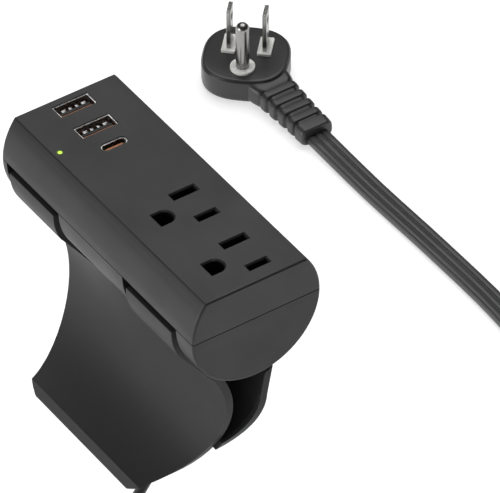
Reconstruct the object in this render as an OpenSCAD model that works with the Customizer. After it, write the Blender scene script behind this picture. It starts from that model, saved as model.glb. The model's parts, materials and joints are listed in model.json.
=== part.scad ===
// Clip-on desk power strip: a D-section housing with two outlets and three USB sockets,
// held by a sprung two-jaw clip, with a flat cord and a low-profile plug.
// X runs along the housing, -Y is the front jaw's side, +Z is up.
// The origin lies between the jaws, where they grip a board.

/* [Housing] */
// Length of the housing
housing_len = 106.5; // [100:0.5:120]
// Radius of the round underside
housing_r = 23.5; // [22:0.5:26]
// Height of the flat top above the housing's axis
top_h = 14.5; // [13:0.5:16]
// Wall thickness of both shells
wall = 2.2; // [1.6:0.1:2.4]
// Fillet along the edges of the top and the end faces
edge_r = 0.8; // [0.6:0.1:2]
// Offset of the housing's centre from the clip's centre
housing_shift = 3.2; // [0:0.1:5]
// Height of the housing's axis above the grip
axis_h = 45; // [42:0.5:50]

/* [Sockets] */
// Distance between the two outlets
outlet_pitch = 27.5; // [27:0.5:29]
// Centre of the first outlet from the housing's centre
outlet_x = 12.7; // [10:0.1:13]
// Distance between the two blade slots of an outlet
blade_pitch = 12.7; // [12.7:0.1:12.7]
// Centres of the USB sockets from the housing's centre
usb_a1_x = -47.4; // [-48:0.1:-46]
usb_a2_x = -35.2; // [-36:0.1:-34]
usb_c_x = -25; // [-26:0.1:-24]

/* [Clip] */
// Half width of both jaws
jaw_half_w = 45.2; // [44:0.1:46]
// Half width of the gap between the two arms of the front jaw
arm_gap = 20.3; // [19:0.1:22]
// Sheet thickness of both jaws
jaw_t = 2.6; // [2.2:0.1:3]
// Radius of the front jaw's cove
cove_r = 30.4; // [29:0.1:31]
// Depth of the tracks that the arms lie in
track_depth = 2.9; // [2.6:0.1:3]
// Widest opening of the rear jaw, in degrees
jaw_open = 30; // [10:1:30]

/* [Cord] */
// Width of the flat three-core cord
cord_w = 8.8; // [8:0.1:10]
// Thickness of the cord
cord_t = 3.2; // [3:0.1:3.6]
// Middle radius of the coil's outer turn
coil_r = 52; // [50:1:56]
// Number of turns in the coil
coil_turns = 4.5; // [3.5:1:4.5]
// Diameter of the plug's body
plug_d = 32; // [31:0.5:36]
// Thickness of the plug's body
plug_h = 10; // [9:0.5:12]

/* [Hidden] */
$fn = 96;
eps = 0.01;

black = [0.09, 0.09, 0.10];
soft_black = [0.14, 0.14, 0.15];
brass = [0.78, 0.62, 0.28];
nickel = [0.75, 0.75, 0.74];
copper = [0.80, 0.45, 0.20];

// ---- housing ----
x_left = housing_shift - housing_len / 2;
x_right = housing_shift + housing_len / 2;
seam = 0.15;
seam_depth = 1.1;
track_r = housing_r - track_depth;
track_in = arm_gap - 2.5;
track_out = jaw_half_w + 2.1;
cavity_r = housing_r - wall;
track_wall = 2;
outlets = [outlet_x, outlet_x + outlet_pitch];
slot_y = 4.9;
neutral_slot = [2.6, 8.7];
live_slot = [2.2, 7.2];
ground_y = -6.4;
ground_r = 2.85;
mouth = 0.5;
usb_a_shell = [5.6, 13.1];
usb_c_shell = [3.3, 9.1];
usb_wall = 0.3;
led_at = [-30.8, -16.2];
led_r = 1;
screw_at = [[-14, 14.5], [-14, -14.5], [51.5, 14.5], [51.5, -14.5]];
board_z = -3;
board_t = 1.6;
block_bottom = -5;
leaf_top = 7;

// ---- clip, in the housing axis's own height ----
arm_r = 23.4;
arm_top = 186.2;
arm_end = 318;
tangent_a = 212.5;
proud_r = 21.2;
proud_at = 4.1 * [cos(230), sin(230)];
slope_r = 25.05;
cove_c = [-33.9, -47];
cove_from = 32.5;
cove_to = -77;
lip_to = -81;
notch_z = -29;
notch_r = 10;
pin_at = [9, -31];
pin_r = 2;
knuckle_r = 5;
rear_c = [-8.5, -44.5];
rear_r = 20;
rear_tip = -80;
tip_clear = 0.6;
lugs = [24, 38];
lug_w = 4;
spring_r = 3.3;
wire_r = 0.5;
spring_rings = 9;
pad_t = 0.9;
clip_screw_x = 33;
clip_screw_a = [232, 268];

corner_from = -36;
corner_size = [25, 44.8];

// ---- cord ----
floor_z = -150;
gland_at = [-10, 24];
gland_end = -42;
coil_step = 3.8;
coil_at = [64, -95];
plug_at = [-189, 163];
plug_turn = -43;
relief_len = 28;
relief_z = 4.9;
blade_back = 4;
ground_out = 11.9;
flat_z = floor_z + cord_t / 2;
edge_z = floor_z + cord_w / 2;
over_z = floor_z + cord_w + cord_t / 2 - 0.2;
relief_end = plug_at.x + plug_d / 2 + relief_len;
coil_in = coil_r - coil_step * coil_turns;

// Each row is a point of the route, then the direction of the cord's width there.
LEAD = [
    [gland_at.x, gland_at.y, gland_end, 1, 0, 0],
    [-10, 24, -54, 1, 0, 0],
    [-10, 22.5, -66, 1, 0, 0],
    [-7.5, 18, -79, 0.97, -0.1, 0.15],
    [-4, 10, -92, 0.85, -0.28, 0.42],
    [-0.5, -1, -105, 0.7, -0.38, 0.58],
    [2.5, -15, -118, 0.62, -0.42, 0.66],
    [5, -31, -130, 0.55, -0.35, 0.75],
    [7.5, -48, -139, 0.4, -0.2, 0.88],
    [10, -66, -144, 0.2, -0.05, 0.98],
    [11.5, -84, edge_z, 0, 0, 1]];
RUN = [
    [coil_at.x + coil_in, coil_at.y + 6, over_z, 1, 0, 0],
    [101.3, -72, over_z, 1, 0, 0],
    [104.1, -55, over_z, 1, 0, 0],
    [106, -35, flat_z + 2.6, 1, 0, 0],
    [107.6, -12, flat_z + 0.35, 1, 0, 0],
    [107, 15, flat_z, 1, 0, 0],
    [103, 45, flat_z, 0.98, 0.2, 0],
    [94, 75, flat_z, 0.92, 0.38, 0],
    [78, 104, flat_z, 0.8, 0.6, 0],
    [56, 129, flat_z, 0.65, 0.76, 0],
    [28, 148, flat_z, 0.45, 0.89, 0],
    [-4, 159, flat_z, 0.2, 0.98, 0],
    [-37, 163, flat_z, 0.05, 1, 0],
    [-75, 163.5, flat_z, 0, 1, 0],
    [-112, 163, flat_z, 0, 1, 0],
    [relief_end, 163, flat_z + 1, 0, 1, 0]];

// ---- helpers ----
// Lays a (y, z) outline, drawn about the housing's axis, along X from one place to another.
module along_x(x0, x1) {
    translate([x0, 0, axis_h]) rotate([90, 0, 90]) linear_extrude(x1 - x0) children();
}

// Lifts a shape from the housing's axis into the part's frame.
module at_axis(x = 0, y = 0, z = 0) {
    translate([x, y, axis_h + z]) children();
}

// A box given by its lowest and highest corner, about the housing's axis.
module span(low, high) {
    translate([low.x, low.y, axis_h + low.z]) cube(high - low);
}

module pie(r, a0, a1) {
    n = ceil((a1 - a0) / 30);
    polygon(concat([[0, 0]],
        [for (i = [0:n]) 2 * r * [cos(a0 + (a1 - a0) * i / n), sin(a0 + (a1 - a0) * i / n)]]));
}

// A band between two radii and two angles.
module band(r_in, r_out, a0, a1) {
    intersection() {
        difference() {
            circle(r_out);
            circle(r_in);
        }
        pie(r_out, a0, a1);
    }
}

module round_box(size, r) {
    square([size.x - 2 * r, size.y], center = true);
    square([size.x, size.y - 2 * r], center = true);
    for (sx = [-1, 1], sy = [-1, 1])
        translate([sx * (size.x / 2 - r), sy * (size.y / 2 - r)]) circle(r);
}

// ---- housing ----
// The D outline with its two long top edges filleted.
module d_outline(r, top, fillet) {
    rise = top - fillet;
    reach = sqrt(pow(r - fillet, 2) - pow(rise, 2));
    lean = atan2(rise, reach);
    difference() {
        intersection() {
            circle(r);
            translate([-r, -r]) square([2 * r, r + top]);
        }
        for (side = [0, 1]) mirror([side, 0])
            translate([reach, rise]) difference() {
                pie(fillet, lean, 90);
                circle(fillet);
            }
    }
}

// The housing's solid outline, shrunk by an inset on every side.
module housing_solid(inset) {
    r = housing_r - inset;
    top = top_h - inset;
    half = housing_len / 2 - inset;
    fillet = max(edge_r - inset, 0.3);
    intersection() {
        along_x(housing_shift - half, housing_shift + half) d_outline(r, top, fillet);
        at_axis(housing_shift) rotate([0, 90, 0]) rotate_extrude()
            intersection() {
                round_box([2 * r, 2 * half], fillet);
                translate([0, -half]) square([r, 2 * half]);
            }
        at_axis(housing_shift, housing_r) rotate([90, 0, 0]) linear_extrude(2 * housing_r)
            translate([0, (top - r) / 2]) round_box([2 * half, top + r], fillet);
    }
}

// The hairline between the two shells.
module seam_cut() {
    difference() {
        span([x_left - 1, -housing_r - 1, -seam], [x_right + 1, housing_r + 1, seam]);
        housing_solid(seam_depth);
    }
}

module upper_half() {
    span([x_left - 1, -housing_r - 1, 0], [x_right + 1, housing_r + 1, housing_r]);
}

module lower_half() {
    span([x_left - 1, -housing_r - 9, -housing_r - 9], [x_right + 1, housing_r + 9, 0]);
}

module boss(at, z0, z1, r) {
    at_axis(at.x, at.y, z0) cylinder(h = z1 - z0, r = r);
}

module slot_through(x, y, size) {
    span([x - size.x / 2, y - size.y / 2, 0], [x + size.x / 2, y + size.y / 2, housing_r]);
}

// The D-shaped hole for a ground pin, flat towards -Y.
module ground_outline(r) {
    intersection() {
        circle(r);
        translate([-r, -3]) square([2 * r, 2 * r + 3]);
    }
    translate([-r, -3]) square([2 * r, 3]);
}

// The chamfered mouth of a rectangular slot.
module slot_mouth(x, y, size) {
    corners = [[-1, -1], [1, -1], [1, 1], [-1, 1]];
    low = [for (c = corners) [c.x * size.x / 2, c.y * size.y / 2, -mouth]];
    high = [for (c = corners) [c.x * (size.x / 2 + mouth), c.y * (size.y / 2 + mouth), 0]];
    at_axis(x, y, top_h + eps) polyhedron(concat(low, high),
        [[0, 1, 2, 3], [7, 6, 5, 4], [0, 4, 5, 1], [1, 5, 6, 2], [2, 6, 7, 3], [3, 7, 4, 0]]);
}

module outlet_cuts(x) {
    slot_mouth(x - blade_pitch / 2, slot_y, neutral_slot);
    slot_mouth(x + blade_pitch / 2, slot_y, live_slot);
    slot_mouth(x, ground_y - 1.5, [2 * ground_r, 3]);
    at_axis(x, ground_y, top_h + eps - mouth)
        cylinder(h = mouth, r1 = ground_r, r2 = ground_r + mouth);
    slot_through(x - blade_pitch / 2, slot_y, neutral_slot);
    slot_through(x + blade_pitch / 2, slot_y, live_slot);
    at_axis(x, ground_y, 0) linear_extrude(housing_r) ground_outline(ground_r);
}

module stadium(size) {
    square([size.x, size.y - size.x], center = true);
    for (s = [-1, 1]) translate([0, s * (size.y - size.x) / 2]) circle(size.x / 2);
}

module top_cover() {
    gap = [0.2, 0.2];
    color(black) difference() {
        union() {
            difference() {
                intersection() {
                    housing_solid(0);
                    upper_half();
                }
                housing_solid(wall);
            }
            intersection() {
                housing_solid(1);
                union() {
                    for (at = screw_at) boss(at, 0, top_h, 3);
                    for (side = [-1, 1], y = [-1, 1])
                        span([min(side * track_in, side * track_out) - track_wall,
                              y > 0 ? track_r - track_wall : -housing_r, 0],
                             [max(side * track_in, side * track_out) + track_wall,
                              y > 0 ? housing_r : track_wall - track_r, track_wall]);
                }
            }
        }
        seam_cut();
        for (x = outlets) outlet_cuts(housing_shift + x);
        for (x = [usb_a1_x, usb_a2_x]) slot_through(housing_shift + x, 0, usb_a_shell + gap);
        at_axis(housing_shift + usb_c_x) linear_extrude(housing_r) stadium(usb_c_shell + gap);
        at_axis(housing_shift + led_at.x, led_at.y) cylinder(h = housing_r, r = led_r);
        for (at = screw_at) boss(at, -1, 9, 1.1);
    }
}

module track(side) {
    along_x(side > 0 ? track_in : -track_out, side > 0 ? track_out : -track_in)
        difference() {
            circle(housing_r + 1);
            circle(track_r);
        }
}

module cord_port() {
    span([gland_at.x - 7.5, 14, -16], [gland_at.x + 7.5, gland_at.y + 4.5, -4]);
}

module bottom_shell() {
    inner = [track_in - track_wall, track_out + track_wall];
    color(black) difference() {
        union() {
            intersection() {
                housing_solid(0);
                lower_half();
            }
            cord_port();
        }
        seam_cut();
        for (side = [-1, 1]) track(side);
        difference() {
            intersection() {
                housing_solid(wall);
                span([x_left, -housing_r, -housing_r], [x_right, housing_r, 1]);
            }
            for (side = [-1, 1]) along_x(side > 0 ? inner[0] : -inner[1],
                                         side > 0 ? inner[1] : -inner[0])
                difference() {
                    circle(housing_r);
                    circle(track_r - track_wall);
                }
            for (at = screw_at) boss(at, -housing_r, 0, 3);
            for (side = [-1, 1], a = clip_screw_a) clip_screw_boss(side, a);
        }
        span([gland_at.x - 5, gland_at.y - 3.5, -17], [gland_at.x + 5, gland_at.y + 3.5, -6]);
        span([gland_at.x - 3, 17, -12], [gland_at.x + 3, gland_at.y - 3, -7]);
        for (at = screw_at) {
            boss(at, -housing_r - 1, 1, 1.3);
            boss(at, -housing_r - 1, -14, 2.6);
        }
        for (side = [-1, 1], a = clip_screw_a) clip_screw_hole(side, a, 0.9);
    }
}

module housing_screws() {
    color(nickel) for (at = screw_at) {
        boss(at, -15.6, 8.5, 1.1);
        difference() {
            boss(at, -15.8, -14, 2.4);
            span([at.x - 2, at.y - 0.3, -16], [at.x + 2, at.y + 0.3, -15.2]);
            span([at.x - 0.3, at.y - 2, -16], [at.x + 0.3, at.y + 2, -15.2]);
        }
    }
}

// ---- sockets and electrics ----
module outlet_block(x) {
    c = housing_shift + x;
    color(soft_black) difference() {
        span([c - 12, -11.2, block_bottom], [c + 10.4, 11.2, top_h - wall]);
        span([c - blade_pitch / 2 - 2.4, slot_y - 4.6, block_bottom - 1],
             [c - blade_pitch / 2 + 2.4, slot_y + 4.6, top_h]);
        span([c + blade_pitch / 2 - 2.4, slot_y - 4, block_bottom - 1],
             [c + blade_pitch / 2 + 2.4, slot_y + 4, top_h]);
        at_axis(c, ground_y, block_bottom - 1) cylinder(h = 30, r = 3.9);
    }
}

module outlet_block_1() outlet_block(outlets[0]);
module outlet_block_2() outlet_block(outlets[1]);

// Two spring leaves beside each slot, on a strip that joins both outlets.
module contact_bar(slot_x, y, leaf_half, leaf_gap, strip_y) {
    t = 0.6;
    xs = [for (x = outlets) housing_shift + x + slot_x];
    color(brass) {
        for (x = xs) {
            for (s = [-1, 1])
                span([x + (s > 0 ? leaf_gap : -leaf_gap - t), y - leaf_half, block_bottom - eps],
                     [x + (s > 0 ? leaf_gap + t : -leaf_gap), y + leaf_half, leaf_top]);
            span([x - leaf_gap - t, min(y - leaf_half, strip_y), block_bottom - 1],
                 [x + leaf_gap + t, max(y + leaf_half, strip_y + 2), block_bottom]);
        }
        span([xs[0] - 2, strip_y, block_bottom - 1], [xs[1] + 2, strip_y + 2, block_bottom]);
    }
}

module neutral_bar() contact_bar(-blade_pitch / 2, slot_y, 3.4, 0.8, slot_y + 4.2);
module live_bar() contact_bar(blade_pitch / 2, slot_y, 2.9, 0.8, slot_y - 5.6);
module ground_bar() contact_bar(0, ground_y, 1.8, 2.4, ground_y - 5);

module usb_board() {
    color("darkgreen") span([x_left + wall + 0.6, -16.8, board_z - board_t],
                            [-17.6, 16.8, board_z]);
}

module usb_a_port(x) {
    c = housing_shift + x;
    color(nickel) at_axis(c, 0, board_z) difference() {
        linear_extrude(top_h - 0.4 - board_z) round_box(usb_a_shell, 0.5);
        translate([0, 0, 1]) linear_extrude(30)
            round_box(usb_a_shell - [2, 2] * usb_wall, 0.3);
    }
}

module usb_a_tongue(x) {
    c = housing_shift + x;
    color(copper) span([c, -5.6, board_z + 1], [c + 1.85, 5.6, top_h - 1.4]);
}

module usb_a_port_1() usb_a_port(usb_a1_x);
module usb_a_port_2() usb_a_port(usb_a2_x);
module usb_a_tongue_1() usb_a_tongue(usb_a1_x);
module usb_a_tongue_2() usb_a_tongue(usb_a2_x);

module usb_c_port() {
    color(nickel) at_axis(housing_shift + usb_c_x, 0, board_z) difference() {
        linear_extrude(top_h - 0.4 - board_z) stadium(usb_c_shell);
        translate([0, 0, 1]) linear_extrude(30) stadium(usb_c_shell - [2, 2] * usb_wall);
    }
}

module usb_c_tongue() {
    c = housing_shift + usb_c_x;
    color(copper) span([c - 0.35, -3.3, board_z + 1], [c + 0.35, 3.3, top_h - 1.4]);
}

module led_pipe() {
    color("greenyellow") at_axis(housing_shift + led_at.x, led_at.y, board_z)
        cylinder(h = top_h - board_z, r = led_r);
}

module transformer() {
    top = board_z - board_t;
    color("goldenrod") {
        span([-44, -7, top - 11], [-40, 7, top]);
        span([-30, -7, top - 11], [-26, 7, top]);
        span([-40, -5, top - 9.1], [-30, 5, top]);
    }
}

module capacitor() {
    color("slategray") at_axis(-21.5, -5, board_z - board_t - 10) cylinder(h = 10, r = 4);
}

module varistor() {
    color("royalblue") at_axis(-7, -3, -11) rotate([0, 90, 0]) cylinder(h = 3.5, r = 5.5);
}

// ---- clip ----
module clip_screw_frame(side, a) {
    at_axis(side * clip_screw_x) rotate([a, 0, 0]) rotate([-90, 0, 0]) children();
}

module clip_screw_hole(side, a, r) {
    clip_screw_frame(side, a) translate([0, 0, 13.5]) cylinder(h = 12, r = r);
}

module clip_screw_boss(side, a) {
    clip_screw_frame(side, a) translate([0, 0, 14]) cylinder(h = 6, r = 2.4);
}

module clip_screws() {
    color(nickel) for (side = [-1, 1], a = clip_screw_a)
        clip_screw_frame(side, a) {
            translate([0, 0, 15]) cylinder(h = 7, r = 0.9);
            difference() {
                translate([0, 0, 21.9]) cylinder(h = 1.2, r = 2);
                translate([-1.5, -0.25, 22.7]) cube([3, 0.5, 1]);
                translate([-0.25, -1.5, 22.7]) cube([0.5, 3, 1]);
            }
        }
}

// The front jaw's bent sheet: arms that stand a little proud of the housing, a straight slope,
// then the cove and its slanted lip.
module front_profile() {
    start = slope_r * [cos(tangent_a), sin(tangent_a)];
    inward = -[cos(tangent_a), sin(tangent_a)];
    foot = cove_c + cove_r * [cos(cove_from), sin(cove_from)];
    difference() {
        intersection() {
            translate(proud_at) circle(proud_r);
            pie(housing_r, arm_top, tangent_a + 1);
        }
        circle(track_r);
    }
    polygon([start, foot, foot + inward * jaw_t, start + inward * jaw_t]);
    translate(cove_c) {
        band(cove_r, cove_r + jaw_t, cove_to, cove_from + 0.5);
        polygon([for (p = [[cove_r, cove_to + 1], [cove_r, cove_to], [cove_r + jaw_t, lip_to],
                           [cove_r + jaw_t, cove_to + 1]])
            p[0] * [cos(p[1]), sin(p[1])]]);
    }
}

// The front jaw seen from the front: straight sides that end in a quarter of an ellipse each.
module front_outline() {
    side = concat([[jaw_half_w, 13]], [for (a = [0:5:90])
        [jaw_half_w - corner_size.x * (1 - cos(a)), corner_from - corner_size.y * sin(a)]]);
    last = len(side) - 1;
    polygon(concat(side, [for (i = [last:-1:0]) [-side[i].x, side[i].y]]));
}

// The rear jaw seen from the front: straight sides, and a round lower end.
module rear_outline() {
    side_r = jaw_half_w - 8.5;
    translate([-jaw_half_w, cove_c.y]) square([2 * jaw_half_w, 60]);
    for (s = [-1, 1]) translate([s * 8.5, cove_c.y]) circle(side_r);
    translate([-8.5, cove_c.y - side_r]) square([17, side_r]);
}

module notch_outline() {
    difference() {
        translate([-arm_gap, notch_z]) square([2 * arm_gap, 60]);
        for (side = [0, 1]) mirror([side, 0]) translate([arm_gap - notch_r, notch_z])
            difference() {
                square([notch_r + 1, notch_r]);
                translate([0, notch_r]) circle(notch_r);
            }
    }
}

// Extrudes an (x, z) outline along Y through the whole clip.
module across_y(y0, y1) {
    at_axis(0, y1) rotate([90, 0, 0]) linear_extrude(y1 - y0) children();
}

// One hinge lug: a round eye that runs up to the arm above it.
module lug_profile() {
    difference() {
        union() {
            translate(pin_at) circle(knuckle_r);
            polygon([[pin_at.x - knuckle_r, pin_at.y], [pin_at.x + knuckle_r, pin_at.y],
                     [pin_at.x + knuckle_r, -18], [-4, -22.4], [0, -26]]);
        }
        circle(arm_r - 1);
        translate(pin_at) circle(pin_r);
    }
}

module front_jaw() {
    color(black) difference() {
        union() {
            intersection() {
                along_x(-jaw_half_w, jaw_half_w) front_profile();
                across_y(-60, 30) difference() {
                    front_outline();
                    notch_outline();
                }
            }
            for (side = [-1, 1]) {
                along_x(side > 0 ? arm_gap : -jaw_half_w, side > 0 ? jaw_half_w : -arm_gap) {
                    band(track_r, arm_r, arm_top, arm_end);
                    difference() {
                        polygon([[-20.5, -10], [-19, -13.6], [-11.5, -25.4], [-8, -21]]);
                        circle(arm_r - 0.5);
                    }
                }
                for (x = lugs) along_x(side > 0 ? x : -x - lug_w, side > 0 ? x + lug_w : -x)
                    lug_profile();
            }
        }
        for (side = [-1, 1]) {
            for (a = clip_screw_a) {
                clip_screw_hole(side, a, 0.9);
                clip_screw_frame(side, a) translate([0, 0, 21.9]) cylinder(h = 3, r = 2);
            }
        }
    }
}

module rear_profile() {
    top = [14.5, -30];
    bend = rear_c + rear_r * [cos(-4.3), sin(-4.3)];
    polygon([top, bend, bend - [jaw_t, 0], top - [jaw_t, 0]]);
    difference() {
        translate(rear_c) band(rear_r - jaw_t, rear_r, rear_tip, -4.3);
        translate(cove_c) circle(cove_r + jaw_t + tip_clear);
    }
}

module rear_jaw() {
    clear = knuckle_r + 1;
    ends = [lugs[0] + lug_w + 0.4, lugs[1] - 0.4];
    color(black) difference() {
        union() {
            intersection() {
                difference() {
                    along_x(-jaw_half_w, jaw_half_w) rear_profile();
                    at_axis(-60, pin_at.x, pin_at.y) rotate([0, 90, 0]) cylinder(h = 120, r = clear);
                }
                across_y(-60, 40) rear_outline();
            }
            for (side = [-1, 1])
                along_x(side > 0 ? ends[0] : -ends[1], side > 0 ? ends[1] : -ends[0]) {
                    translate(pin_at) circle(knuckle_r);
                    polygon([[14, -31], [13.3, -38], [10.7, -38], [9, -34]]);
                }
        }
        at_axis(-60, pin_at.x, pin_at.y) rotate([0, 90, 0]) cylinder(h = 120, r = pin_r + 0.05);
    }
}

module hinge_pin() {
    half = lugs[1] + lug_w + 0.8;
    color(nickel) at_axis(-half, pin_at.x, pin_at.y) rotate([0, 90, 0])
        cylinder(h = 2 * half, r = pin_r);
}

// A torsion spring: closed rings on the pin, one leg on each jaw.
module spring(side) {
    first = side * 9;
    pitch = 2 * wire_r + 0.05;
    color(nickel) {
        for (i = [0:spring_rings - 1])
            at_axis(first + side * i * pitch, pin_at.x, pin_at.y) rotate([0, 90, 0])
                rotate_extrude() translate([spring_r, 0]) circle(wire_r, $fn = 24);
        at_axis(first, pin_at.x, pin_at.y + spring_r) rotate([101, 0, 0])
            cylinder(h = 12, r = wire_r, $fn = 24);
        at_axis(first + side * (spring_rings - 1) * pitch, pin_at.x, pin_at.y - spring_r)
            rotate([-66, 0, 0]) cylinder(h = 3.4, r = wire_r, $fn = 24);
    }
}

module spring_left() spring(-1);
module spring_right() spring(1);

module front_pad() {
    color(soft_black) along_x(-30, 30) translate(cove_c)
        band(cove_r + jaw_t, cove_r + jaw_t + pad_t, -16, 12);
}

module rear_pad() {
    color(soft_black) along_x(-30, 30) translate(rear_c)
        band(rear_r - jaw_t - pad_t, rear_r - jaw_t, -42, -8);
}

// ---- cord ----
function unit(v) = v / norm(v);
function head(row) = [row[0], row[1], row[2]];
function tail(row) = [row[3], row[4], row[5]];
function pick(rows, i) = rows[max(0, min(len(rows) - 1, i))];

// A smooth curve through the rows, with the given number of steps between two of them.
function through(rows, steps) = concat(
    [for (i = [0:len(rows) - 2], k = [0:steps - 1])
        let (t = k / steps, a = pick(rows, i - 1), b = rows[i], c = rows[i + 1],
             d = pick(rows, i + 2))
        0.5 * (2 * b + (c - a) * t + (2 * a - 5 * b + 4 * c - d) * t * t
               + (3 * b - a - 3 * c + d) * t * t * t)],
    [rows[len(rows) - 1]]);

// The flat cord's eight-cornered section at one row of the curve.
function section(rows, i) =
    let (along = unit(head(pick(rows, i + 1)) - head(pick(rows, i - 1))),
         lean = tail(rows[i]),
         wide = unit(lean - (lean * along) * along),
         thick = cross(along, wide),
         corners = [[5, 2], [4, 5], [-4, 5], [-5, 2], [-5, -2], [-4, -5], [4, -5], [5, -2]])
    [for (c = corners) head(rows[i]) + wide * c.x * cord_w / 10 + thick * c.y * cord_t / 10];

module flat_tube(rows) {
    rings = len(rows);
    sides = 8;
    points = [for (i = [0:rings - 1]) each section(rows, i)];
    walls = [for (i = [0:rings - 2], k = [0:sides - 1])
        let (a = i * sides + k, b = i * sides + (k + 1) % sides)
        each [[a, a + sides, b + sides], [a, b + sides, b]]];
    caps = [[for (k = [0:sides - 1]) k], [for (k = [sides - 1:-1:0]) (rings - 1) * sides + k]];
    at_axis() polyhedron(points, concat(walls, caps), convexity = 6);
}

module cord_lead() color(black) flat_tube(through(LEAD, 2));
module cord_run() color(black) flat_tube(through(RUN, 2));

// A ribbed, tapering sleeve along -Z around the flat cord; its widest rib is the first.
module ribbed_sleeve(length, ribs, wide, narrow) {
    pitch = length / ribs;
    for (i = [0:ribs - 1]) {
        size = wide + (narrow - wide) * i / (ribs - 1);
        translate([0, 0, -(i + 0.62) * pitch]) linear_extrude(0.62 * pitch + eps) round_box(size, 1.6);
        translate([0, 0, -(i + 1) * pitch]) linear_extrude(0.38 * pitch + eps)
            round_box(size - [1.6, 1.2], 1.2);
    }
}

module cord_gland() {
    color(soft_black) difference() {
        union() {
            span([gland_at.x - 5, gland_at.y - 3.5, -16], [gland_at.x + 5, gland_at.y + 3.5, -6]);
            at_axis(gland_at.x, gland_at.y, -16)
                ribbed_sleeve(-16 - gland_end, 5, [13.5, 8.6], [11, 5.2]);
        }
        span([gland_at.x - cord_w / 2, gland_at.y - cord_t / 2, -50],
             [gland_at.x + cord_w / 2, gland_at.y + cord_t / 2, -8]);
    }
}

// The coil's outer shape: every turn stands on its edge.
module cord_coil() {
    color(black) at_axis(coil_at.x, coil_at.y, floor_z) rotate_extrude()
        translate([coil_in - cord_t / 2, 0])
            square([coil_r - coil_in + cord_t, cord_w]);
}

module cord_tie() {
    t = 0.8;
    inner = coil_in - cord_t / 2;
    wide = coil_r - coil_in + cord_t;
    color(soft_black) at_axis(coil_at.x, coil_at.y, floor_z)
        rotate([0, 0, 262]) rotate_extrude(angle = 16) translate([inner, 0]) {
            translate([-t, 0]) square([t, cord_w + t]);
            translate([-t, cord_w]) square([wide + 2 * t, t]);
            translate([wide, 0]) square([t, cord_w + t]);
        }
}

// ---- plug: lies on its back, with its pins up ----
module at_plug(z) {
    at_axis(plug_at.x, plug_at.y, floor_z + z) children();
}

module plug_frame() {
    at_plug(plug_h) rotate([0, 0, plug_turn]) children();
}

module plug_body() {
    r = plug_d / 2;
    color(black) at_plug(0) rotate_extrude() {
        square([r - 2, plug_h]);
        translate([0, 2]) square([r, plug_h - 4]);
        for (z = [2, plug_h - 2]) translate([r - 2, z]) circle(2);
    }
}

module plug_relief() {
    start = plug_at.x + plug_d / 2 - 0.6;
    ribs = 5;
    pitch = (relief_end - start) / ribs;
    color(black) difference() {
        for (i = [0:ribs - 1]) {
            high = 8.2 - 0.9 * i;
            wide = 15 - 0.8 * i;
            low = floor_z + max(0, relief_z - high / 2 - 0.4 * i);
            span([start + i * pitch, plug_at.y - wide / 2, low],
                 [start + (i + 0.65) * pitch, plug_at.y + wide / 2, low + high]);
            span([start + i * pitch, plug_at.y - wide / 2 + 1.2, low + 0.8],
                 [start + (i + 1) * pitch, plug_at.y + wide / 2 - 1.2, low + high - 0.8]);
        }
        at_plug(-1) cylinder(h = plug_h + 2, r = plug_d / 2);
    }
}

module plug_blades() {
    color(nickel) plug_frame() for (s = [-1, 1])
        translate([-blade_back, s * blade_pitch / 2, 0]) difference() {
            translate([-3.175, -0.75, -5]) cube([6.35, 1.5, 22]);
            translate([0, 2, 13]) rotate([90, 0, 0]) cylinder(h = 4, r = 1.6);
        }
}

module plug_ground_pin() {
    r = 2.4;
    color(nickel) plug_frame() translate([ground_out - blade_back, 0, -5]) {
        cylinder(h = 5 + 20 - r, r = r);
        translate([0, 0, 5 + 20 - r]) sphere(r);
    }
}

module plug_insulators() {
    lift = 1;
    color("white") plug_frame() {
        for (s = [-1, 1]) translate([-blade_back, s * blade_pitch / 2, 0]) difference() {
            linear_extrude(lift) round_box([9.6, 4.9], 0.5);
            translate([-3.175, -0.75, -1]) cube([6.35, 1.5, 4]);
        }
        translate([ground_out - blade_back, 0, 0]) difference() {
            cylinder(h = lift, r = 4.4);
            translate([0, 0, -1]) cylinder(h = 4, r = 2.4);
        }
    }
}

top_cover();
bottom_shell();
housing_screws();
outlet_block_1();
outlet_block_2();
live_bar();
neutral_bar();
ground_bar();
usb_board();
usb_a_port_1();
usb_a_port_2();
usb_a_tongue_1();
usb_a_tongue_2();
usb_c_port();
usb_c_tongue();
led_pipe();
transformer();
capacitor();
varistor();
front_jaw();
clip_screws();
rear_jaw();
hinge_pin();
spring_left();
spring_right();
front_pad();
rear_pad();
cord_gland();
cord_lead();
cord_coil();
cord_run();
cord_tie();
plug_body();
plug_relief();
plug_blades();
plug_ground_pin();
plug_insulators();
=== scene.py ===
"""Looks for the clip-on desk power strip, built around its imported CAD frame. Metres, +Z up."""
import json
import math

import bmesh
import bpy
from mathutils import Matrix, Vector


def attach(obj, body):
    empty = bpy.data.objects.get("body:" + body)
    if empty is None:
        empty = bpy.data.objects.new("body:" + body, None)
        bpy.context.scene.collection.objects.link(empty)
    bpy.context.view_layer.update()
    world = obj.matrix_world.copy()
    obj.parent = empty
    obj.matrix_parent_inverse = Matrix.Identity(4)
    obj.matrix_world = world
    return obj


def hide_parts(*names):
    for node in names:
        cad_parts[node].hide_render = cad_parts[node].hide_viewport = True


MM = 0.001
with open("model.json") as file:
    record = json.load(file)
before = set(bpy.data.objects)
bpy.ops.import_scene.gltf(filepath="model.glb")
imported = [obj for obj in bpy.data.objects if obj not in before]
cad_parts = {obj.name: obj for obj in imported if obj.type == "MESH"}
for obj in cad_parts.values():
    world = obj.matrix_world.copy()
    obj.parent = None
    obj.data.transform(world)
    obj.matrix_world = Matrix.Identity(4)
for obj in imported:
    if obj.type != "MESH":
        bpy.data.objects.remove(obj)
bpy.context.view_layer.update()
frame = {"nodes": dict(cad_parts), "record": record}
NODES = frame["nodes"]

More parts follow.
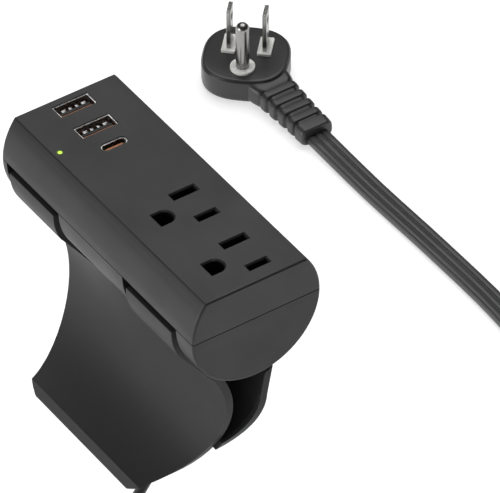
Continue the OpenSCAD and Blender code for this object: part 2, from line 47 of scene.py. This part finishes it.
# ---- places shared with the CAD model, in millimetres about the housing's axis ----
AXIS_H = 45
FLOOR = -150
CORD_W, CORD_T = 8.8, 3.2
COIL_AT, COIL_R, COIL_STEP, COIL_TURNS = (64, -95), 52, 3.8, 4.5
PLUG_AT, PLUG_D, PLUG_H, PLUG_TURN = (-189, 163), 32, 10, -43
RELIEF_LEN = 28
GLAND_AT, GLAND_END = (-10, 24), -42
HOUSING_SHIFT = 3.2
TOP_H = 14.5
FLAT_Z = FLOOR + CORD_T / 2
EDGE_Z = FLOOR + CORD_W / 2
OVER_Z = FLOOR + CORD_W + CORD_T / 2 - 0.2
COIL_IN = COIL_R - COIL_STEP * COIL_TURNS
RISE_IN = 2.5
RELIEF_END = PLUG_AT[0] + PLUG_D / 2 + RELIEF_LEN

# Each row is a point of the route, then the direction of the cord's width there.
LEAD = [
    (*GLAND_AT, GLAND_END, 1, 0, 0),
    (-10, 24, -54, 1, 0, 0),
    (-10, 22.5, -66, 1, 0, 0),
    (-7.5, 18, -79, 0.97, -0.1, 0.15),
    (-4, 10, -92, 0.85, -0.28, 0.42),
    (-0.5, -1, -105, 0.7, -0.38, 0.58),
    (2.5, -15, -118, 0.62, -0.42, 0.66),
    (5, -31, -130, 0.55, -0.35, 0.75),
    (7.5, -48, -139, 0.4, -0.2, 0.88),
    (10, -66, -144, 0.2, -0.05, 0.98),
    (11.5, -84, EDGE_Z, 0, 0, 1)]
RUN = [
    (COIL_AT[0] + COIL_IN, COIL_AT[1] + 6, OVER_Z, 1, 0, 0),
    (101.3, -72, OVER_Z, 1, 0, 0),
    (104.1, -55, OVER_Z, 1, 0, 0),
    (106, -35, FLAT_Z + 2.6, 1, 0, 0),
    (107.6, -12, FLAT_Z + 0.35, 1, 0, 0),
    (107, 15, FLAT_Z, 1, 0, 0),
    (103, 45, FLAT_Z, 0.98, 0.2, 0),
    (94, 75, FLAT_Z, 0.92, 0.38, 0),
    (78, 104, FLAT_Z, 0.8, 0.6, 0),
    (56, 129, FLAT_Z, 0.65, 0.76, 0),
    (28, 148, FLAT_Z, 0.45, 0.89, 0),
    (-4, 159, FLAT_Z, 0.2, 0.98, 0),
    (-37, 163, FLAT_Z, 0.05, 1, 0),
    (-75, 163.5, FLAT_Z, 0, 1, 0),
    (-112, 163, FLAT_Z, 0, 1, 0),
    (RELIEF_END, 163, FLAT_Z + 1, 0, 1, 0)]


def place(x, y, z):
    """A point about the housing's axis, in millimetres, as a point of the frame in metres."""
    return Vector((x, y, z + AXIS_H)) * MM


# ---- camera ----
# It looks from this azimuth and elevation, in degrees, at a point of the plane z = 0, in metres.
AZIMUTH, ELEVATION, ROLL = -34.223, 41.221, -0.158
AIM, DISTANCE = Vector((-0.01418, 0.04554, 0)), 2.1987
LENS, SENSOR = 499.5, 36


def make_camera():
    azimuth, elevation = math.radians(AZIMUTH), math.radians(ELEVATION)
    back = Vector((math.cos(elevation) * math.cos(azimuth),
                   math.cos(elevation) * math.sin(azimuth), math.sin(elevation)))
    right = Vector((-math.sin(azimuth), math.cos(azimuth), 0))
    turn = Matrix((right, back.cross(right), back)).transposed()
    data = bpy.data.cameras.new("camera")
    data.lens = LENS
    data.sensor_width = SENSOR
    data.clip_start, data.clip_end = 0.1, 20
    camera = bpy.data.objects.new("camera", data)
    camera.matrix_world = (Matrix.Translation(AIM + back * DISTANCE) @ turn.to_4x4()
                           @ Matrix.Rotation(math.radians(ROLL), 4, "Z"))
    bpy.context.scene.collection.objects.link(camera)
    bpy.context.scene.camera = camera


make_camera()
bpy.context.scene.view_settings.view_transform = "Standard"


# ---- materials ----
def new_material(name, color, rough, metal=0.0, **sockets):
    mat = bpy.data.materials.new(name)
    mat.use_nodes = True
    shader = mat.node_tree.nodes["Principled BSDF"]
    shader.inputs["Base Color"].default_value = (*color, 1)
    shader.inputs["Roughness"].default_value = rough
    shader.inputs["Metallic"].default_value = metal
    for socket, value in sockets.items():
        shader.inputs[socket.replace("_", " ")].default_value = value
    return mat, mat.node_tree, shader


def add(tree, kind, **values):
    node = tree.nodes.new(kind)
    for key, value in values.items():
        if key in node.inputs:
            node.inputs[key].default_value = value
        else:
            setattr(node, key, value)
    return node


def noise(tree, scale, detail=3.0, stretch=(1, 1, 1)):
    """Noise in the object's own coordinates, which are the frame's metres."""
    where = add(tree, "ShaderNodeTexCoord")
    mapping = add(tree, "ShaderNodeMapping")
    mapping.inputs["Scale"].default_value = stretch
    texture = add(tree, "ShaderNodeTexNoise", Scale=scale, Detail=detail)
    tree.links.new(where.outputs["Object"], mapping.inputs["Vector"])
    tree.links.new(mapping.outputs["Vector"], texture.inputs["Vector"])
    return texture.outputs["Fac"]


def mapped(tree, value, low, high, from_low=0.3, from_high=0.7):
    ramp = add(tree, "ShaderNodeMapRange")
    ramp.inputs["From Min"].default_value = from_low
    ramp.inputs["From Max"].default_value = from_high
    ramp.inputs["To Min"].default_value = low
    ramp.inputs["To Max"].default_value = high
    tree.links.new(value, ramp.inputs["Value"])
    return ramp.outputs["Result"]


def mixed(tree, factor, a, b):
    mix = add(tree, "ShaderNodeMix", data_type="RGBA")
    mix.inputs[6].default_value = (*a, 1)
    mix.inputs[7].default_value = (*b, 1)
    tree.links.new(factor, mix.inputs["Factor"])
    return mix.outputs[2]


def bumped(tree, shader, height, distance, strength=0.5):
    bump = add(tree, "ShaderNodeBump", Strength=strength, Distance=distance)
    tree.links.new(height, bump.inputs["Height"])
    tree.links.new(bump.outputs["Normal"], shader.inputs["Normal"])


def moulded(name, color, rough, grain=4500, depth=0.00002, spread=0.12, **sockets):
    """Moulded plastic: spark-eroded grain, slow changes of gloss, and paler convex edges as a
    painted highlight.
    """
    mat, tree, shader = new_material(name, color, rough, **sockets)
    slow = noise(tree, 55, 4)
    fine = noise(tree, grain, 2)
    tree.links.new(mapped(tree, slow, rough - spread / 2, rough + spread / 2),
                   shader.inputs["Roughness"])
    # Painted highlight: convex edges are given a paler base colour.
    convexity = add(tree, "ShaderNodeNewGeometry").outputs["Pointiness"]
    painted_highlight_mask = mapped(tree, convexity, 0, 1, 0.505, 0.56)
    pale = [c * 1.6 + 0.004 for c in color]
    tree.links.new(mixed(tree, painted_highlight_mask, color, pale), shader.inputs["Base Color"])
    bumped(tree, shader, fine, depth)
    return mat


def drawn_metal(name, color, rough, stretch=(1, 1, 8)):
    """Bare or plated metal with fine drawing marks and faint tarnish."""
    mat, tree, shader = new_material(name, color, rough, metal=1.0)
    marks = noise(tree, 2600, 3, stretch)
    tarnish = noise(tree, 240, 4)
    dull = [c * 0.72 for c in color]
    tree.links.new(mixed(tree, mapped(tree, tarnish, 0, 0.5), color, dull),
                   shader.inputs["Base Color"])
    tree.links.new(mapped(tree, marks, rough * 0.7, rough * 1.5), shader.inputs["Roughness"])
    bumped(tree, shader, marks, 0.000015, 0.3)
    return mat


def lens_material():
    mat, tree, shader = new_material("led_lens", (0.45, 0.70, 0.05), 0.2)
    shader.inputs["Emission Color"].default_value = (0.62, 1.0, 0.10, 1)
    shader.inputs["Emission Strength"].default_value = 0.9
    glow = mapped(tree, noise(tree, 3000, 1), 0.15, 0.3)
    tree.links.new(glow, shader.inputs["Roughness"])
    return mat


def board_material():
    """Green solder mask with paler copper tracks showing through."""
    mat, tree, shader = new_material("circuit_board", (0.02, 0.16, 0.06), 0.35)
    where = add(tree, "ShaderNodeTexCoord")
    tracks = add(tree, "ShaderNodeTexBrick", Scale=260)
    tree.links.new(where.outputs["Object"], tracks.inputs["Vector"])
    tree.links.new(mixed(tree, tracks.outputs["Fac"], (0.02, 0.13, 0.05), (0.05, 0.26, 0.10)),
                   shader.inputs["Base Color"])
    return mat


def winding_material():
    mat, tree, shader = new_material("winding", (0.70, 0.50, 0.10), 0.45)
    where = add(tree, "ShaderNodeTexCoord")
    turns = add(tree, "ShaderNodeTexWave", Scale=900)
    tree.links.new(where.outputs["Object"], turns.inputs["Vector"])
    tree.links.new(mixed(tree, turns.outputs["Fac"], (0.55, 0.36, 0.06), (0.78, 0.60, 0.16)),
                   shader.inputs["Base Color"])
    return mat


def strap_material():
    """Hook-and-loop strap: short felted pile."""
    mat, tree, shader = new_material("tie_strap", (0.03, 0.03, 0.03), 0.95,
                                     Sheen_Weight=0.4)
    pile = noise(tree, 5200, 5)
    tree.links.new(mixed(tree, pile, (0.012, 0.012, 0.012), (0.06, 0.06, 0.06)),
                   shader.inputs["Base Color"])
    bumped(tree, shader, pile, 0.00012, 0.9)
    return mat


MATERIALS = {
    "housing_black": moulded("housing_black", (0.0085, 0.0085, 0.0087), 0.46),
    # jaw_black's base colour is raised about fourfold over housing_black's: painted light that
    # brightens the jaws' shaded cove and inner faces.
    "jaw_black": moulded("jaw_black", (0.033, 0.033, 0.0335), 0.50, Specular_IOR_Level=0.14),
    "socket_insulator": moulded("socket_insulator", (0.006, 0.006, 0.006), 0.6),
    "contact_brass": drawn_metal("contact_brass", (0.72, 0.52, 0.22), 0.32),
    "circuit_board": board_material(),
    "port_steel": drawn_metal("port_steel", (0.80, 0.79, 0.78), 0.28),
    "tongue_orange": moulded("tongue_orange", (0.30, 0.11, 0.045), 0.4, grain=7000),
    "tongue_copper": drawn_metal("tongue_copper", (0.34, 0.15, 0.08), 0.35),
    "led_lens": lens_material(),
    "winding": winding_material(),
    "capacitor_sleeve": moulded("capacitor_sleeve", (0.03, 0.04, 0.07), 0.25),
    "varistor_coat": moulded("varistor_coat", (0.02, 0.07, 0.32), 0.3),
    "screw_steel": drawn_metal("screw_steel", (0.62, 0.62, 0.60), 0.33, (1, 1, 1)),
    "spring_steel": drawn_metal("spring_steel", (0.55, 0.54, 0.52), 0.3, (1, 1, 1)),
    "pad_rubber": moulded("pad_rubber", (0.012, 0.012, 0.012), 0.82, grain=2500),
    "cord_vinyl": moulded("cord_vinyl", (0.052, 0.052, 0.0525), 0.42, grain=3500, spread=0.16),
    "tie_strap": strap_material(),
    "plug_vinyl": moulded("plug_vinyl", (0.026, 0.026, 0.0263), 0.34, grain=3800),
    "pin_nickel": drawn_metal("pin_nickel", (0.36, 0.355, 0.345), 0.24),
    "insulator_white": moulded("insulator_white", (0.78, 0.78, 0.75), 0.35, grain=5000),
}
SLOT_OF = {part["node"]: part["material_slot"] for part in frame["record"]["subparts"]}


def paint(obj, slot):
    obj.data.materials.clear()
    obj.data.materials.append(MATERIALS[slot])


# ---- carried-over CAD nodes: material, and edges broken by a small bevel, in millimetres ----
PLAIN_BEVEL = 0.12
SHARP_ANGLE = 38
# These keep the normals of their exact surfaces, and have no bevel.
EXACT = ("front_jaw", "rear_jaw", "bottom_shell")


def finish_node(name, bevel):
    """Its material, with small bevels and even normals unless its surfaces are kept exact."""
    node = NODES[name]
    paint(node, SLOT_OF[name])
    if name in EXACT:
        return
    if "custom_normal" in node.data.attributes:
        node.data.attributes.remove(node.data.attributes["custom_normal"])
    node.data.shade_smooth()
    weld = node.modifiers.new("weld", "WELD")
    weld.merge_threshold = 0.002 * MM
    if bevel:
        edges = node.modifiers.new("bevel", "BEVEL")
        edges.width = bevel * MM
        edges.segments = 3
        edges.limit_method = "ANGLE"
        edges.angle_limit = math.radians(SHARP_ANGLE)
        edges.use_clamp_overlap = True
    even = node.modifiers.new("normals", "WEIGHTED_NORMAL")
    even.keep_sharp = True
    even.weight = 80


BEVELS = {"top_cover": 0.35, "plug_blades": 0.3, "plug_ground_pin": 0, "plug_insulators": 0.25,
          "usb_a_port_1": 0.1, "usb_a_port_2": 0.1, "usb_c_port": 0.1,
          "usb_a_tongue_1": 0.15, "usb_a_tongue_2": 0.15, "usb_c_tongue": 0.1,
          "led_pipe": 0.25, "outlet_block_1": 0.2, "outlet_block_2": 0.2,
          "housing_screws": 0.1, "clip_screws": 0.1, "hinge_pin": 0.4}
for node_name in NODES:
    finish_node(node_name, BEVELS.get(node_name, PLAIN_BEVEL))


# ---- mesh helpers ----
def new_piece(name, verts, faces, slot, body="strip", smooth=True):
    mesh = bpy.data.meshes.new(name)
    mesh.from_pydata([tuple(v) for v in verts], [], faces)
    bm = bmesh.new()
    bm.from_mesh(mesh)
    bmesh.ops.remove_doubles(bm, verts=bm.verts, dist=1e-7)
    bmesh.ops.recalc_face_normals(bm, faces=bm.faces)
    bm.to_mesh(mesh)
    bm.free()
    if smooth:
        mesh.shade_smooth()
    obj = bpy.data.objects.new(name, mesh)
    bpy.context.scene.collection.objects.link(obj)
    mesh.materials.append(MATERIALS[slot])
    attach(obj, body)
    return obj


def loft(rings, closed=False):
    """Faces between equal rings of points, capped at both ends unless the loft is closed."""
    n = len(rings[0])
    count = len(rings)
    verts = [p for ring in rings for p in ring]
    faces = []
    for i in range(count if closed else count - 1):
        j = (i + 1) % count
        for k in range(n):
            m = (k + 1) % n
            faces.append((i * n + k, j * n + k, j * n + m, i * n + m))
    if not closed:
        faces.append(tuple(range(n)))
        faces.append(tuple((count - 1) * n + k for k in reversed(range(n))))
    return verts, faces


def through(rows, steps):
    """A smooth curve through the rows, with the given number of steps between two of them."""
    rows = [list(r) for r in rows]
    out = []
    for i in range(len(rows) - 1):
        a, b, c, d = rows[max(i - 1, 0)], rows[i], rows[i + 1], rows[min(i + 2, len(rows) - 1)]
        for k in range(steps):
            t = k / steps
            out.append([0.5 * (2 * q + (r - p) * t + (2 * p - 5 * q + 4 * r - s) * t * t
                               + (3 * q - p - 3 * r + s) * t ** 3)
                        for p, q, r, s in zip(a, b, c, d)])
    return out + [rows[-1]]


def ease(t):
    t = min(max(t, 0.0), 1.0)
    return t * t * (3 - 2 * t)


def coil_rows():
    """The coil on its edge, wound inwards; its end rises, turns flat and leaves over the turns."""
    rows = []
    total = 360 * COIL_TURNS
    step = 7.5
    for k in range(1, int(total / step)):
        a = k * step
        share = min(max((a - total + 78) / 76, 0.0), 1.0)
        rise = ease(share)
        lie = ease((a - total + 65) / 60)
        r = COIL_R - COIL_STEP * a / 360 - RISE_IN * math.sin(math.pi * share)
        out = Vector((math.cos(math.radians(180 + a)), math.sin(math.radians(180 + a)), 0))
        z = EDGE_Z + (OVER_Z - EDGE_Z) * rise
        wide = out * lie + Vector((0, 0, 1)) * (1 - lie)
        rows.append((COIL_AT[0] + r * out.x, COIL_AT[1] + r * out.y, z, *wide))
    return rows


# ---- the flat cord ----
def cord_section():
    """Half of the ribbed outline, as (across, thick) shares of the cord's width and thickness."""
    rib, strip, groove, pitch = 1.05, 0.30, 0.16, 2.75
    half_w, half_t = CORD_W / 2, CORD_T / 2
    marks = []
    centres = [-pitch, 0, pitch]
    low = half_t * 0.74
    flat = half_t * 0.84
    marks.append((-half_w, half_t * 0.30))
    marks.append((-half_w + 0.12, half_t * 0.62))
    marks.append((-half_w + 0.38, flat))
    for c in centres:
        marks.append((c - rib - groove, low))
        marks.append((c - rib, flat))
        marks.append((c - rib * 0.72, half_t))
        marks.append((c + rib * 0.72, half_t))
        marks.append((c + rib, flat))
        marks.append((c + rib + groove, low))
        if c < centres[-1]:
            middle = c + pitch / 2
            marks.append((middle - strip / 2, flat))
            marks.append((middle + strip / 2, flat))
    marks.append((half_w - 0.38, flat))
    marks.append((half_w - 0.12, half_t * 0.62))
    marks.append((half_w, half_t * 0.30))
    return marks + [(x, -z) for x, z in reversed(marks)]


def cord_frames(rows):
    """(place, across, thick) along the route, in metres."""
    points = [place(*r[:3]) for r in rows]
    frames = []
    for i, row in enumerate(rows):
        along = (points[min(i + 1, len(points) - 1)] - points[max(i - 1, 0)]).normalized()
        lean = Vector(row[3:6])
        across = (lean - lean.dot(along) * along).normalized()
        frames.append((points[i], across, along.cross(across)))
    return frames


def make_cord():
    rows = through(LEAD, 8)[:-1] + through([LEAD[-1]] + coil_rows() + RUN, 4)
    section = cord_section()
    rings = [[p + across * x * MM + thick * z * MM for x, z in section]
             for p, across, thick in cord_frames(rows)]
    verts, faces = loft(rings)
    cord = new_piece("power_cord", verts, faces, "cord_vinyl")
    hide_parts("cord_lead", "cord_coil", "cord_run")
    return cord, [place(*r[:3]) for r in rows]


cord, cord_path = make_cord()
pieces_on_cord = []


# ---- tie round the coil ----
def make_tie():
    """A hook-and-loop strap round the turns, over their top and down both sides."""
    t = 0.7
    first, step, count = 262, 2, 9
    r_in = COIL_IN - CORD_T / 2 - 0.15
    r_out = COIL_R + CORD_T / 2 + 0.15
    top = CORD_W + 0.1
    outline = []
    for x, z, sx, sz in ((r_in, 0, -1, 0), (r_in, top, -1, 1),
                         (r_out, top, 1, 1), (r_out, 0, 1, 0)):
        outline.append(((x, z), (x + sx * t, z + sz * t)))
    rings = []
    for k in range(count):
        a = math.radians(first + step * k)
        ring = [(x, z) for (x, z), _ in outline] + [(x, z) for _, (x, z) in reversed(outline)]
        rings.append([place(COIL_AT[0] + x * math.cos(a), COIL_AT[1] + x * math.sin(a), FLOOR + z)
                      for x, z in ring])
    verts, faces = loft(rings)
    tie = new_piece("coil_tie", verts, faces, "tie_strap")
    soften(tie, 0.25)
    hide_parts("cord_tie")
    return tie


def soften(obj, width, segments=3, angle=35):
    edges = obj.modifiers.new("bevel", "BEVEL")
    edges.width = width * MM
    edges.segments = segments
    edges.limit_method = "ANGLE"
    edges.angle_limit = math.radians(angle)
    even = obj.modifiers.new("normals", "WEIGHTED_NORMAL")
    even.keep_sharp = True


pieces_on_cord.append(make_tie())


# ---- ribbed sleeves: the plug's strain relief and the housing's cord boot ----
def rounded_rect(w, h, r, steps=5):
    r = min(r, w / 2 - 0.01, h / 2 - 0.01)
    points = []
    for cx, cy, start in ((w / 2 - r, h / 2 - r, 0), (-w / 2 + r, h / 2 - r, 90),
                          (-w / 2 + r, -h / 2 + r, 180), (w / 2 - r, -h / 2 + r, 270)):
        for k in range(steps + 1):
            a = math.radians(start + 90 * k / steps)
            points.append((cx + r * math.cos(a), cy + r * math.sin(a)))
    return points


def sleeve_stations(length, ribs, wide, narrow, groove):
    """(distance, width, height) along a tapering sleeve whose ribs have rounded shoulders."""
    pitch = length / ribs
    stations = []
    for i in range(ribs):
        for share, depth in ((0.02, 1), (0.08, 0.35), (0.16, 0), (0.58, 0), (0.66, 0.35),
                             (0.72, 1), (0.96, 1)):
            at = (i + share) * pitch
            f = at / length
            stations.append((at, wide[0] + (narrow[0] - wide[0]) * f - groove * depth * 2,
                             wide[1] + (narrow[1] - wide[1]) * f - groove * depth * 1.4))
    return stations


# ---- plug ----
def plug_point(x, y, z):
    a = math.radians(PLUG_TURN)
    return place(PLUG_AT[0] + x * math.cos(a) - y * math.sin(a),
                 PLUG_AT[1] + x * math.sin(a) + y * math.cos(a), FLOOR + z)


def squircle(radius, power=2.6, count=96):
    points = []
    for k in range(count):
        a = 2 * math.pi * k / count
        c, s = math.cos(a), math.sin(a)
        r = radius / (abs(c) ** power + abs(s) ** power) ** (1 / power)
        points.append((r * c, r * s))
    return points


def make_plug_body():
    """A low round-cornered disc: rounded foot, straight side, a fine rim step, and a flat face."""
    r = PLUG_D / 2
    profile = []
    for k in range(7):
        a = math.radians(90 * k / 6)
        profile.append((r - 2.6 + 2.6 * math.sin(a), 2.2 - 2.2 * math.cos(a)))
    profile += [(r, PLUG_H - 1.3), (r - 0.08, PLUG_H - 0.95), (r - 0.3, PLUG_H - 0.8),
                (r - 0.42, PLUG_H - 0.55), (r - 0.6, PLUG_H - 0.25), (r - 1.0, PLUG_H - 0.05),
                (r - 1.6, PLUG_H), (r - 6, PLUG_H), (r - 11, PLUG_H)]
    rings = [[plug_point(x * rr / r, y * rr / r, z) for x, y in squircle(r * 0.965)]
             for rr, z in profile]
    verts, faces = loft(rings)
    body = new_piece("plug_shell", verts, faces, "plug_vinyl")
    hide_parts("plug_body")
    return body


def make_relief():
    sunk, lead, collar = 2.5, 5.5, 4.6
    start = PLUG_AT[0] + PLUG_D / 2 - sunk
    length = RELIEF_END - start
    stations = [(0, 17.0, 8.6), (2.0, 16.4, 8.5), (lead - 1.2, 15.2, 8.3)]
    stations += [(lead + at, w, h) for at, w, h in
                 sleeve_stations(length - lead - collar, 4, (15.2, 8.2), (13.0, 7.2), 0.9)]
    stations += [(length - 4.4, 13.4, 7.4), (length - 1.0, 13.0, 7.2), (length - 0.3, 12.4, 6.6),
                 (length, 11.2, 5.6)]
    rings = []
    z_plug, z_cord = 4.9, 3.9
    for at, w, h in stations:
        z = z_plug + (z_cord - z_plug) * at / length
        rings.append([place(start + at, PLUG_AT[1] + x, FLOOR + max(z, h / 2) + y)
                      for x, y in rounded_rect(w, h, 2.6)])
    verts, faces = loft(rings)
    relief = new_piece("plug_strain_relief", verts, faces, "plug_vinyl")
    soften(relief, 0.12, 2, 40)
    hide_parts("plug_relief")
    return relief


def make_boot():
    """The cord's boot under the housing, with the same ribs as the plug's."""
    top = -15.5
    length = top - GLAND_END
    stations = [(0, 13.2, 8.4), (1.2, 13.2, 8.4)]
    stations += [(1.2 + at, w, h) for at, w, h in
                 sleeve_stations(length - 4.2, 5, (13.2, 8.4), (11.2, 5.8), 0.7)]
    stations += [(length - 2.8, 11.0, 5.6), (length - 0.5, 10.8, 5.3), (length, 10.0, 4.4)]
    rings = [[place(GLAND_AT[0] + x, GLAND_AT[1] + y, top - at) for x, y in rounded_rect(w, h, 1.8)]
             for at, w, h in stations]
    verts, faces = loft(rings)
    boot = new_piece("cord_boot", verts, faces, "cord_vinyl")
    soften(boot, 0.12, 2, 40)
    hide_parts("cord_gland")
    return boot


pieces_on_cord += [make_plug_body(), make_relief(), NODES["plug_blades"],
                   NODES["plug_ground_pin"], NODES["plug_insulators"]]
make_boot()


# ---- torsion springs round the hinge pin, which is at this y and z ----
PIN = (9, -31)


def tube(points, radius, sides=10):
    """Rings of a round wire along a list of points."""
    rings = []
    side = None
    for i, p in enumerate(points):
        along = (points[min(i + 1, len(points) - 1)] - points[max(i - 1, 0)]).normalized()
        if side is None:
            side = along.orthogonal().normalized()
        side = (side - side.dot(along) * along).normalized()
        other = along.cross(side)
        rings.append([p + (side * math.cos(2 * math.pi * k / sides)
                           + other * math.sin(2 * math.pi * k / sides)) * radius
                      for k in range(sides)])
    return loft(rings)


def make_spring(side):
    """One wound wire: a leg forward to the front jaw, the coil, and a leg to the rear jaw."""
    r, turns, pitch, wire, inner = 3.3, 8.0, 1.05, 0.5, 9
    start, end = 90, -90
    points = []
    front_leg = math.radians(191)
    for k in range(7):
        d = 12 - 2 * k
        y = PIN[0] + math.cos(front_leg) * d
        z = PIN[1] + r + math.sin(front_leg) * d
        points.append(place(side * inner, y, z))
    sweep = turns * 360 + (start - end)
    steps = 240
    for k in range(1, steps):
        a = math.radians(start - sweep * k / steps)
        x = side * (inner + pitch * turns * k / steps)
        points.append(place(x, PIN[0] + r * math.cos(a), PIN[1] + r * math.sin(a)))
    for k in range(5):
        points.append(place(side * (inner + pitch * turns), PIN[0] - 0.2 + 0.75 * k,
                            PIN[1] - r - 0.25 * k))
    verts, faces = tube(points, wire * MM)
    name = "left" if side < 0 else "right"
    spring = new_piece("torsion_spring_" + name, verts, faces, "spring_steel")
    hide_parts("spring_" + name)


for spring_side in (-1, 1):
    make_spring(spring_side)


# ---- ribbed rubber pads on the jaws ----
def make_pad(name, node, centre, r_back, r_face, a0, a1, body):
    """A rubber strip on an arc, with rounded ridges along X on its gripping face."""
    ridges = 9
    steps = ridges * 8
    half, edge = 30, 0.3
    face = []
    for k in range(steps + 1):
        a = math.radians(a0 + (a1 - a0) * k / steps)
        wave = 0.5 - 0.5 * math.cos(2 * math.pi * ridges * k / steps)
        base = r_back + (r_face - r_back) * 0.55
        r = base + (r_face - base) * wave ** 0.6
        face.append((centre[0] + r * math.cos(a), centre[1] + r * math.sin(a)))
    back = []
    for k in range(steps + 1):
        a = math.radians(a1 + (a0 - a1) * k / steps)
        back.append((centre[0] + r_back * math.cos(a), centre[1] + r_back * math.sin(a)))
    outline = face + back
    rings = [[place(x, y, z) for y, z in outline] for x in (-half, edge - half, half - edge, half)]
    verts, faces = loft(rings)
    pad = new_piece(name, verts, faces, "pad_rubber", body)
    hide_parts(node)
    sharp = pad.modifiers.new("normals", "WEIGHTED_NORMAL")
    sharp.keep_sharp = True


make_pad("front_grip_pad", "front_pad", centre=(-33.9, -47), r_back=33.0, r_face=33.9,
         a0=-16, a1=12, body="strip")
make_pad("rear_grip_pad", "rear_pad", centre=(-8.5, -44.5), r_back=17.4, r_face=16.5,
         a0=-42, a1=-8, body="rear_clamp")


# ---- USB sockets: flared rims, contact carriers and spring contacts ----
USB_A_AT = ((1, -47.4), (2, -35.2))
USB_A_MOUTH, USB_A_CORNER = (5.0, 12.5), 0.35
USB_C_AT, USB_C_MOUTH, USB_C_CORNER = -25, (2.7, 8.5), 1.34
LED_AT = (-30.8, -16.2)


def at_port(x, y, z):
    return place(HOUSING_SHIFT + x, y, z)


def make_flare(name, x, size, radius):
    """The shell's mouth: bright steel that flares out to the cover."""
    rows = [(-0.02, TOP_H - 2.2), (0.0, TOP_H - 1.25), (0.18, TOP_H - 0.7), (0.42, TOP_H - 0.28),
            (0.52, TOP_H - 0.24), (0.50, TOP_H - 0.5), (0.26, TOP_H - 0.9), (0.08, TOP_H - 1.4),
            (0.06, TOP_H - 2.2)]
    rings = [[at_port(x + px, py, z) for px, py in
              rounded_rect(size[0] + 2 * out, size[1] + 2 * out, radius + out)]
             for out, z in rows]
    verts, faces = loft(rings, closed=True)
    new_piece(name, verts, faces, "port_steel")


def make_carrier(name, x, low, high, half, top):
    """The dark carrier on a tongue, a slab with a rounded end."""
    rings = []
    for inset, z in ((0, top - 1.2), (0, top - 0.22), (0.06, top - 0.08), (0.2, top)):
        rings.append([at_port(x + (low + high) / 2 + px, py, z) for px, py in
                      rounded_rect(high - low - 2 * inset, 2 * half - 2 * inset, 0.25)])
    verts, faces = loft(rings)
    new_piece(name, verts, faces, "socket_insulator")


def make_contacts(name, x, count, pitch, width):
    """Bent spring contacts that stand proud of a tongue's inner face."""
    verts, faces = [], []
    profile = [(0.02, 4), (0.05, 9.0), (-0.25, 11.0), (-0.85, 12.5), (-1.0, 13.0),
               (-0.75, 13.4), (-0.1, 13.35)]
    for i in range(count):
        y = (i - (count - 1) / 2) * pitch
        wide = width * (1.35 if i in (0, count - 1) else 1.0)
        rings = [[at_port(x + dx + ox, y + oy, z)
                  for ox, oy in ((-0.14, -wide / 2), (0.14, -wide / 2),
                                 (0.14, wide / 2), (-0.14, wide / 2))] for dx, z in profile]
        more, shapes = loft(rings)
        faces += [tuple(len(verts) + k for k in shape) for shape in shapes]
        verts += more
    contacts = new_piece(name, verts, faces, "pin_nickel")
    soften(contacts, 0.06, 2, 40)


for number, port_x in USB_A_AT:
    make_flare(f"usb_a_flare_{number}", port_x, USB_A_MOUTH, USB_A_CORNER)
    make_carrier(f"usb_a_carrier_{number}", port_x, low=-0.15, high=1.25, half=5.5,
                 top=TOP_H - 1.15)
    make_contacts(f"usb_a_contacts_{number}", port_x, count=4, pitch=2.45, width=1.15)
make_flare("usb_c_flare", USB_C_AT, USB_C_MOUTH, USB_C_CORNER)


# ---- a dark ring round the light pipe ----
def make_led_ring():
    r_in, r_out = 0.72, 1.3
    rings = []
    for k in range(40):
        a = 2 * math.pi * k / 40
        rings.append([at_port(LED_AT[0] + r * math.cos(a), LED_AT[1] + r * math.sin(a), z)
                      for r, z in ((r_in, TOP_H - 0.2), (r_in, TOP_H + 0.06),
                                   (r_in + 0.1, TOP_H + 0.1), (r_out - 0.1, TOP_H + 0.06),
                                   (r_out, TOP_H - 0.1))])
    verts, faces = loft(rings, closed=True)
    ring = new_piece("led_ring", verts, faces, "led_lens")
    ring.data.materials[0] = moulded("led_ring", (0.05, 0.09, 0.008), 0.4)


make_led_ring()


# ---- floor and lights ----
HORIZON, ZENITH, FLOOR_GLOW = 0.10, 1.15, 0.62


def make_floor():
    """A pale sheet that is lit evenly from behind, as a light table is."""
    clear = 0.0002
    bpy.ops.mesh.primitive_plane_add(size=12, location=(0, 0, (FLOOR + AXIS_H) * MM - clear))
    floor = bpy.context.object
    floor.name = "floor"
    mat, tree, shader = new_material("floor", (0.8, 0.8, 0.8), 0.9, Specular_IOR_Level=0.1)
    soft = noise(tree, 3, 2)
    tree.links.new(mixed(tree, soft, (0.79, 0.79, 0.79), (0.81, 0.81, 0.81)),
                   shader.inputs["Base Color"])
    shader.inputs["Emission Color"].default_value = (1, 1, 1, 1)
    shader.inputs["Emission Strength"].default_value = FLOOR_GLOW
    floor.data.materials.append(mat)


def area_light(name, at, target, size, power):
    data = bpy.data.lights.new(name, "AREA")
    data.shape = "RECTANGLE"
    data.size, data.size_y = size
    data.energy = power
    light = bpy.data.objects.new(name, data)
    light.location = at
    light.rotation_mode = "QUATERNION"
    light.rotation_quaternion = (Vector(target) - Vector(at)).to_track_quat("-Z", "Y")
    bpy.context.scene.collection.objects.link(light)


def make_world():
    """A soft studio dome: bright overhead, dim at the horizon."""
    world = bpy.data.worlds.new("studio")
    world.use_nodes = True
    tree = world.node_tree
    background = tree.nodes["Background"]
    where = add(tree, "ShaderNodeTexCoord")
    split = add(tree, "ShaderNodeSeparateXYZ")
    tree.links.new(where.outputs["Generated"], split.inputs[0])
    level = mapped(tree, split.outputs["Z"], HORIZON, ZENITH, 0.1, 0.75)
    tree.links.new(level, background.inputs["Strength"])
    bpy.context.scene.world = world


make_floor()
make_world()
area_light("overhead", (-0.7, 0.6, 2.2), (0, 0, 0), (2.4, 2.4), 40)
area_light("low_fill", (-0.3, -1.7, 0.15), (0, 0, -0.02), (1.2, 0.8), 16)
